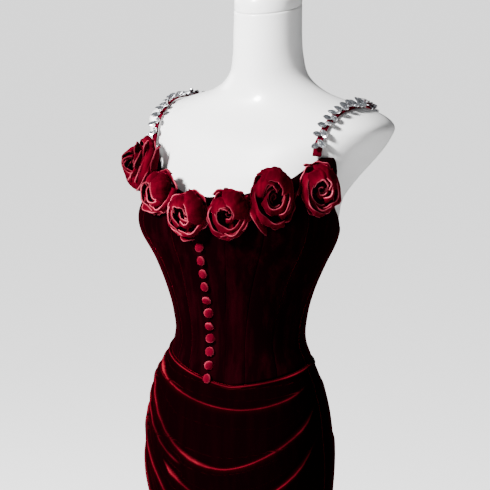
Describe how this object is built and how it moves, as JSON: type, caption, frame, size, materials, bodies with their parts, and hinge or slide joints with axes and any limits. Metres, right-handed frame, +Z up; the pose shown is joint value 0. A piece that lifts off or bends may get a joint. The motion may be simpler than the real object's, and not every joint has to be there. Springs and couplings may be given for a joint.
{
  "type": "mermaid evening dress on a dress form",
  "caption": "Fitted velvet mermaid gown with covered buttons, rose-trimmed neckline, crystal straps, side-gathered skirt and flared hem, on a limbless dress form with a round base.",
  "frame": {"origin": "centre of the round base's underside, on the floor", "axes": "+Z up, the gown faces -Y, +X to the wearer's left hand"},
  "size_m": [0.7278, 0.7194, 1.5918],
  "materials": {
    "velvet": "deep red velvet with a soft sheen",
    "form": "smooth white gloss",
    "stand": "white satin paint",
    "crystal": "clear stones in bright silver settings"
  },
  "bodies": {
    "root": {"bodice_back_left": "velvet", "bodice_back_right": "velvet", "bodice_centre_front_left": "velvet", "bodice_centre_front_right": "velvet", "bodice_front_left": "velvet", "bodice_front_right": "velvet", "bodice_side_back_left": "velvet", "bodice_side_back_right": "velvet", "bodice_side_front_left": "velvet", "bodice_side_front_right": "velvet", "bodice_side_left": "velvet", "bodice_side_right": "velvet", "button_01": "velvet", "button_02": "velvet", "button_03": "velvet", "button_04": "velvet", "button_05": "velvet", "button_06": "velvet", "button_07": "velvet", "button_08": "velvet", "button_09": "velvet", "button_10": "velvet", "button_11": "velvet", "flounce_back": "velvet", "flounce_back_left": "velvet", "flounce_back_right": "velvet", "flounce_front": "velvet", "flounce_front_left": "velvet", "flounce_front_right": "velvet", "form_neck_cap": "form", "form_torso": "form", "rose_1": "velvet", "rose_2": "velvet", "rose_3": "velvet", "rose_4": "velvet", "rose_5": "velvet", "rose_6": "velvet", "skirt_back_left": "velvet", "skirt_back_right": "velvet", "skirt_front": "velvet", "stand_base": "stand", "stand_pole": "stand", "strap_left": "velvet", "strap_right": "velvet", "strap_trim_left": "crystal", "strap_trim_right": "crystal"}
  },
  "joints": []
}
